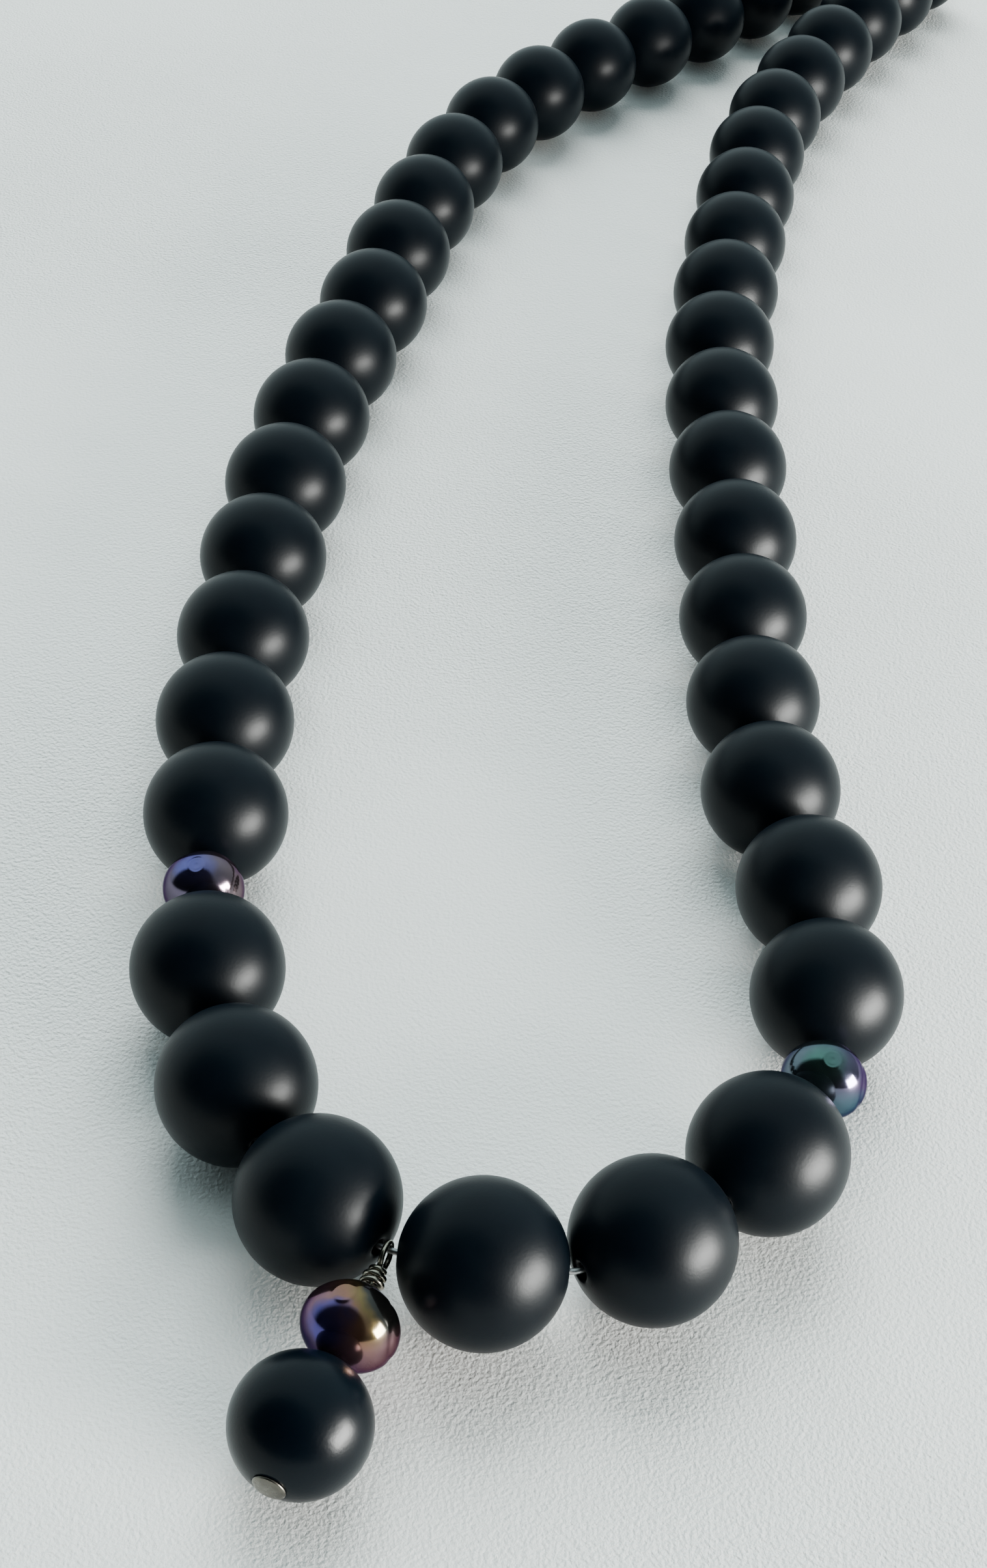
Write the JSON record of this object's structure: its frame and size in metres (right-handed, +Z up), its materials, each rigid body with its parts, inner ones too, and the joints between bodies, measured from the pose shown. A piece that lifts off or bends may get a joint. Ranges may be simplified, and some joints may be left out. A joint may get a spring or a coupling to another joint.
{
  "type": "bead necklace",
  "caption": "Strand of round matte stone beads with two side pearls, a wire-wrapped pearl and bead drop at the front, and an undone lobster clasp, lying on a table.",
  "frame": {"origin": "centre of the necklace's footprint, on the surface it lies on", "axes": "+Z up, +Y from the drop at the front towards the clasp at the back, +X to the right as seen from the drop"},
  "size_m": [0.0804, 0.2396, 0.0098],
  "materials": {
    "matte_stone": "matte black stone, sandblasted smooth",
    "pearl_blue": "dyed pearl lustre",
    "pearl_violet": "dyed pearl lustre",
    "pearl_rose": "dyed pearl lustre",
    "silver": "warm polished silver",
    "steel_wire": "fine cable, satin"
  },
  "bodies": {
    "centre": {"bead_right_01": "matte_stone", "strand_wire": "steel_wire"},
    "bead_left_01": {"bead_left_01": "matte_stone"},
    "bead_left_02": {"bead_left_02": "matte_stone"},
    "bead_left_03": {"bead_left_03": "matte_stone"},
    "pearl_left": {"pearl_left": "pearl_violet"},
    "bead_left_04": {"bead_left_04": "matte_stone"},
    "bead_left_05": {"bead_left_05": "matte_stone"},
    "bead_left_06": {"bead_left_06": "matte_stone"},
    "bead_left_07": {"bead_left_07": "matte_stone"},
    "bead_left_08": {"bead_left_08": "matte_stone"},
    "bead_left_09": {"bead_left_09": "matte_stone"},
    "bead_left_10": {"bead_left_10": "matte_stone"},
    "bead_left_11": {"bead_left_11": "matte_stone"},
    "bead_left_12": {"bead_left_12": "matte_stone"},
    "bead_left_13": {"bead_left_13": "matte_stone"},
    "bead_left_14": {"bead_left_14": "matte_stone"},
    "bead_left_15": {"bead_left_15": "matte_stone"},
    "bead_left_16": {"bead_left_16": "matte_stone"},
    "bead_left_17": {"bead_left_17": "matte_stone"},
    "bead_left_18": {"bead_left_18": "matte_stone"},
    "bead_left_19": {"bead_left_19": "matte_stone"},
    "bead_left_20": {"bead_left_20": "matte_stone"},
    "bead_left_21": {"bead_left_21": "matte_stone"},
    "bead_left_22": {"bead_left_22": "matte_stone", "crimp_left": "silver"},
    "bead_right_02": {"bead_right_02": "matte_stone"},
    "bead_right_03": {"bead_right_03": "matte_stone"},
    "pearl_right": {"pearl_right": "pearl_blue"},
    "bead_right_04": {"bead_right_04": "matte_stone"},
    "bead_right_05": {"bead_right_05": "matte_stone"},
    "bead_right_06": {"bead_right_06": "matte_stone"},
    "bead_right_07": {"bead_right_07": "matte_stone"},
    "bead_right_08": {"bead_right_08": "matte_stone"},
    "bead_right_09": {"bead_right_09": "matte_stone"},
    "bead_right_10": {"bead_right_10": "matte_stone"},
    "bead_right_11": {"bead_right_11": "matte_stone"},
    "bead_right_12": {"bead_right_12": "matte_stone"},
    "bead_right_13": {"bead_right_13": "matte_stone"},
    "bead_right_14": {"bead_right_14": "matte_stone"},
    "bead_right_15": {"bead_right_15": "matte_stone"},
    "bead_right_16": {"bead_right_16": "matte_stone"},
    "bead_right_17": {"bead_right_17": "matte_stone"},
    "bead_right_18": {"bead_right_18": "matte_stone"},
    "bead_right_19": {"bead_right_19": "matte_stone"},
    "bead_right_20": {"bead_right_20": "matte_stone"},
    "bead_right_21": {"bead_right_21": "matte_stone"},
    "bead_right_22": {"bead_right_22": "matte_stone", "crimp_right": "silver"},
    "end_ring": {"end_ring": "silver"},
    "jump_ring": {"jump_ring": "silver"},
    "clasp": {"clasp_body": "silver", "clasp_pin": "silver", "clasp_spring": "steel_wire"},
    "clasp_lever": {"clasp_lever": "silver"},
    "drop": {"head_pin": "silver"},
    "pearl_drop": {"pearl_drop": "pearl_rose"},
    "bead_drop": {"bead_drop": "matte_stone"}
  },
  "joints": [
    {"name": "lift_bead_left_01", "type": "hinge", "parent": "centre", "child": "bead_left_01", "pos_m": [-0.01915, -0.10408, 0.0049], "axis": [0.3305, 0.9438, 0], "range_deg": [0, 20], "deforming": ["strand_wire"]},
    {"name": "swing_bead_left_02", "type": "hinge", "parent": "bead_left_01", "child": "bead_left_02", "pos_m": [-0.02736, -0.09765, 0.0049], "axis": [0, 0, 1], "range_deg": [0, 15], "deforming": ["strand_wire"]},
    {"name": "lift_bead_left_03", "type": "hinge", "parent": "bead_left_02", "child": "bead_left_03", "pos_m": [-0.03158, -0.08836, 0.0049], "axis": [0.9468, 0.322, 0], "range_deg": [0, 15], "deforming": ["strand_wire"]},
    {"name": "swing_pearl_left", "type": "hinge", "parent": "bead_left_03", "child": "pearl_left", "pos_m": [-0.03389, -0.07852, 0.0049], "axis": [0, 0, 1], "range_deg": [0, 20], "deforming": ["strand_wire"]},
    {"name": "lift_bead_left_04", "type": "hinge", "parent": "pearl_left", "child": "bead_left_04", "pos_m": [-0.0342, -0.07394, 0.0049], "axis": [0.999, 0.044, 0], "range_deg": [0, 20], "deforming": ["strand_wire"]},
    {"name": "swing_bead_left_05", "type": "hinge", "parent": "bead_left_04", "child": "bead_left_05", "pos_m": [-0.03488, -0.06384, 0.0049], "axis": [0, 0, 1], "range_deg": [0, 15], "deforming": ["strand_wire"]},
    {"name": "lift_bead_left_06", "type": "hinge", "parent": "bead_left_05", "child": "bead_left_06", "pos_m": [-0.03546, -0.05386, 0.0049], "axis": [0.9999, 0.0138, 0], "range_deg": [0, 15], "deforming": ["strand_wire"]},
    {"name": "swing_bead_left_07", "type": "hinge", "parent": "bead_left_06", "child": "bead_left_07", "pos_m": [-0.03544, -0.04363, 0.0049], "axis": [0, 0, 1], "range_deg": [0, 20], "deforming": ["strand_wire"]},
    {"name": "lift_bead_left_08", "type": "hinge", "parent": "bead_left_07", "child": "bead_left_08", "pos_m": [-0.03523, -0.03318, 0.0049], "axis": [0.9993, -0.0387, 0], "range_deg": [0, 20], "deforming": ["strand_wire"]},
    {"name": "swing_bead_left_09", "type": "hinge", "parent": "bead_left_08", "child": "bead_left_09", "pos_m": [-0.03461, -0.02275, 0.0049], "axis": [0, 0, 1], "range_deg": [0, 20], "deforming": ["strand_wire"]},
    {"name": "lift_bead_left_10", "type": "hinge", "parent": "bead_left_09", "child": "bead_left_10", "pos_m": [-0.03351, -0.01235, 0.0049], "axis": [0.9915, -0.1299, 0], "range_deg": [0, 20], "deforming": ["strand_wire"]},
    {"name": "swing_bead_left_11", "type": "hinge", "parent": "bead_left_10", "child": "bead_left_11", "pos_m": [-0.03176, -0.0022, 0.0049], "axis": [0, 0, 1], "range_deg": [0, 20], "deforming": ["strand_wire"]},
    {"name": "lift_bead_left_12", "type": "hinge", "parent": "bead_left_11", "child": "bead_left_12", "pos_m": [-0.0301, 0.00781, 0.0049], "axis": [0.9909, -0.1342, 0], "range_deg": [0, 20], "deforming": ["strand_wire"]},
    {"name": "swing_bead_left_13", "type": "hinge", "parent": "bead_left_12", "child": "bead_left_13", "pos_m": [-0.02873, 0.01786, 0.0049], "axis": [0, 0, 1], "range_deg": [0, 20], "deforming": ["strand_wire"]},
    {"name": "lift_bead_left_14", "type": "hinge", "parent": "bead_left_13", "child": "bead_left_14", "pos_m": [-0.02687, 0.02785, 0.0049], "axis": [0.9752, -0.2213, 0], "range_deg": [0, 20], "deforming": ["strand_wire"]},
    {"name": "swing_bead_left_15", "type": "hinge", "parent": "bead_left_14", "child": "bead_left_15", "pos_m": [-0.02423, 0.03766, 0.0049], "axis": [0, 0, 1], "range_deg": [0, 20], "deforming": ["strand_wire"]},
    {"name": "lift_bead_left_16", "type": "hinge", "parent": "bead_left_15", "child": "bead_left_16", "pos_m": [-0.02031, 0.04704, 0.0049], "axis": [0.8915, -0.4531, 0], "range_deg": [0, 20], "deforming": ["strand_wire"]},
    {"name": "swing_bead_left_17", "type": "hinge", "parent": "bead_left_16", "child": "bead_left_17", "pos_m": [-0.01519, 0.05582, 0.0049], "axis": [0, 0, 1], "range_deg": [0, 20], "deforming": ["strand_wire"]},
    {"name": "lift_bead_left_18", "type": "hinge", "parent": "bead_left_17", "child": "bead_left_18", "pos_m": [-0.00917, 0.064, 0.0049], "axis": [0.7853, -0.6191, 0], "range_deg": [0, 20], "deforming": ["strand_wire"]},
    {"name": "swing_bead_left_19", "type": "hinge", "parent": "bead_left_18", "child": "bead_left_19", "pos_m": [-0.00284, 0.07194, 0.0049], "axis": [0, 0, 1], "range_deg": [0, 20], "deforming": ["strand_wire"]},
    {"name": "lift_bead_left_20", "type": "hinge", "parent": "bead_left_19", "child": "bead_left_20", "pos_m": [0.00326, 0.08005, 0.0049], "axis": [0.8059, -0.592, 0], "range_deg": [0, 20], "deforming": ["strand_wire"]},
    {"name": "swing_bead_left_21", "type": "hinge", "parent": "bead_left_20", "child": "bead_left_21", "pos_m": [0.00913, 0.08833, 0.0049], "axis": [0, 0, 1], "range_deg": [0, 20], "deforming": ["strand_wire"]},
    {"name": "lift_bead_left_22", "type": "hinge", "parent": "bead_left_21", "child": "bead_left_22", "pos_m": [0.01446, 0.09697, 0.0049], "axis": [0.8663, -0.4996, 0], "range_deg": [0, 20], "deforming": ["strand_wire"]},
    {"name": "lift_bead_right_02", "type": "hinge", "parent": "centre", "child": "bead_right_02", "pos_m": [-0.0086, -0.10438, 0.0049], "axis": [0.275, -0.9614, 0], "range_deg": [0, 15], "deforming": ["strand_wire"]},
    {"name": "swing_bead_right_03", "type": "hinge", "parent": "bead_right_02", "child": "bead_right_03", "pos_m": [-0.00008, -0.09872, 0.0049], "axis": [0, 0, -1], "range_deg": [0, 15], "deforming": ["strand_wire"]},
    {"name": "lift_pearl_right", "type": "hinge", "parent": "bead_right_03", "child": "pearl_right", "pos_m": [0.00572, -0.09028, 0.0049], "axis": [0.8643, -0.503, 0], "range_deg": [0, 20], "deforming": ["strand_wire"]},
    {"name": "swing_bead_right_04", "type": "hinge", "parent": "pearl_right", "child": "bead_right_04", "pos_m": [0.00698, -0.08582, 0.0049], "axis": [0, 0, -1], "range_deg": [0, 20], "deforming": ["strand_wire"]},
    {"name": "lift_bead_right_05", "type": "hinge", "parent": "bead_right_04", "child": "bead_right_05", "pos_m": [0.00696, -0.07564, 0.0049], "axis": [0.9975, 0.0704, 0], "range_deg": [0, 15], "deforming": ["strand_wire"]},
    {"name": "swing_bead_right_06", "type": "hinge", "parent": "bead_right_05", "child": "bead_right_06", "pos_m": [0.00512, -0.06581, 0.0049], "axis": [0, 0, -1], "range_deg": [0, 15], "deforming": ["strand_wire"]},
    {"name": "lift_bead_right_07", "type": "hinge", "parent": "bead_right_06", "child": "bead_right_07", "pos_m": [0.00321, -0.056, 0.0049], "axis": [0.995, 0.0997, 0], "range_deg": [0, 15], "deforming": ["strand_wire"]},
    {"name": "swing_bead_right_08", "type": "hinge", "parent": "bead_right_07", "child": "bead_right_08", "pos_m": [0.0026, -0.04578, 0.0049], "axis": [0, 0, -1], "range_deg": [0, 20], "deforming": ["strand_wire"]},
    {"name": "lift_bead_right_09", "type": "hinge", "parent": "bead_right_08", "child": "bead_right_09", "pos_m": [0.00221, -0.03534, 0.0049], "axis": [0.9993, 0.0373, 0], "range_deg": [0, 20], "deforming": ["strand_wire"]},
    {"name": "swing_bead_right_10", "type": "hinge", "parent": "bead_right_09", "child": "bead_right_10", "pos_m": [0.00181, -0.0249, 0.0049], "axis": [0, 0, -1], "range_deg": [0, 20], "deforming": ["strand_wire"]},
    {"name": "lift_bead_right_11", "type": "hinge", "parent": "bead_right_10", "child": "bead_right_11", "pos_m": [0.00137, -0.01446, 0.0049], "axis": [0.9994, 0.034, 0], "range_deg": [0, 20], "deforming": ["strand_wire"]},
    {"name": "swing_bead_right_12", "type": "hinge", "parent": "bead_right_11", "child": "bead_right_12", "pos_m": [0.00109, -0.00416, 0.0049], "axis": [0, 0, -1], "range_deg": [0, 20], "deforming": ["strand_wire"]},
    {"name": "lift_bead_right_13", "type": "hinge", "parent": "bead_right_12", "child": "bead_right_13", "pos_m": [0.00143, 0.00599, 0.0049], "axis": [0.9975, -0.0714, 0], "range_deg": [0, 20], "deforming": ["strand_wire"]},
    {"name": "swing_bead_right_14", "type": "hinge", "parent": "bead_right_13", "child": "bead_right_14", "pos_m": [0.00241, 0.01609, 0.0049], "axis": [0, 0, -1], "range_deg": [0, 20], "deforming": ["strand_wire"]},
    {"name": "lift_bead_right_15", "type": "hinge", "parent": "bead_right_14", "child": "bead_right_15", "pos_m": [0.00358, 0.02618, 0.0049], "axis": [0.9926, -0.1213, 0], "range_deg": [0, 20], "deforming": ["strand_wire"]},
    {"name": "swing_bead_right_16", "type": "hinge", "parent": "bead_right_15", "child": "bead_right_16", "pos_m": [0.00485, 0.03625, 0.0049], "axis": [0, 0, -1], "range_deg": [0, 20], "deforming": ["strand_wire"]},
    {"name": "lift_bead_right_17", "type": "hinge", "parent": "bead_right_16", "child": "bead_right_17", "pos_m": [0.0066, 0.04625, 0.0049], "axis": [0.9758, -0.2186, 0], "range_deg": [0, 20], "deforming": ["strand_wire"]},
    {"name": "swing_bead_right_18", "type": "hinge", "parent": "bead_right_17", "child": "bead_right_18", "pos_m": [0.00932, 0.05603, 0.0049], "axis": [0, 0, -1], "range_deg": [0, 20], "deforming": ["strand_wire"]},
    {"name": "lift_bead_right_19", "type": "hinge", "parent": "bead_right_18", "child": "bead_right_19", "pos_m": [0.01283, 0.06557, 0.0049], "axis": [0.9312, -0.3646, 0], "range_deg": [0, 20], "deforming": ["strand_wire"]},
    {"name": "swing_bead_right_20", "type": "hinge", "parent": "bead_right_19", "child": "bead_right_20", "pos_m": [0.01671, 0.07495, 0.0049], "axis": [0, 0, -1], "range_deg": [0, 20], "deforming": ["strand_wire"]},
    {"name": "lift_bead_right_21", "type": "hinge", "parent": "bead_right_20", "child": "bead_right_21", "pos_m": [0.02103, 0.08413, 0.0049], "axis": [0.8957, -0.4447, 0], "range_deg": [0, 20], "deforming": ["strand_wire"]},
    {"name": "swing_bead_right_22", "type": "hinge", "parent": "bead_right_21", "child": "bead_right_22", "pos_m": [0.02558, 0.0932, 0.0049], "axis": [0, 0, -1], "range_deg": [0, 20], "deforming": ["strand_wire"]},
    {"name": "end_ring_swing", "type": "hinge", "parent": "bead_left_22", "child": "end_ring", "pos_m": [0.02154, 0.10968, 0.00324], "axis": [0.8717, -0.49, 0], "range_deg": [0, 50], "deforming": ["strand_wire"]},
    {"name": "jump_ring_swing", "type": "hinge", "parent": "bead_right_22", "child": "jump_ring", "pos_m": [0.03209, 0.10637, 0.00319], "axis": [0.8961, -0.4439, 0], "range_deg": [0, 50], "deforming": ["strand_wire"]},
    {"name": "clasp_turn", "type": "hinge", "parent": "jump_ring", "child": "clasp", "pos_m": [0.03356, 0.10932, 0.0013], "axis": [0, 0, 1], "range_deg": [-40, 40]},
    {"name": "clasp_lever_press", "type": "hinge", "parent": "clasp", "child": "clasp_lever", "pos_m": [0.03408, 0.11241, 0.0013], "axis": [0, 0, -1], "range_deg": [0, 15], "stiffness_Nm_per_rad": 0.004, "springref_deg": -5.73, "deforming": ["clasp_spring"]},
    {"name": "drop_swing", "type": "hinge", "parent": "centre", "child": "drop", "pos_m": [-0.01915, -0.10408, 0.0049], "axis": [-0.9438, 0.3305, 0], "range_deg": [0, 45]},
    {"name": "pearl_drop_spin", "type": "hinge", "parent": "drop", "child": "pearl_drop", "pos_m": [-0.02079, -0.10919, 0.00447], "axis": [0.3051, 0.9489, 0.0803], "continuous": true},
    {"name": "bead_drop_spin", "type": "hinge", "parent": "drop", "child": "bead_drop", "pos_m": [-0.02276, -0.11531, 0.00395], "axis": [0.3051, 0.9489, 0.0803], "continuous": true}
  ]
}
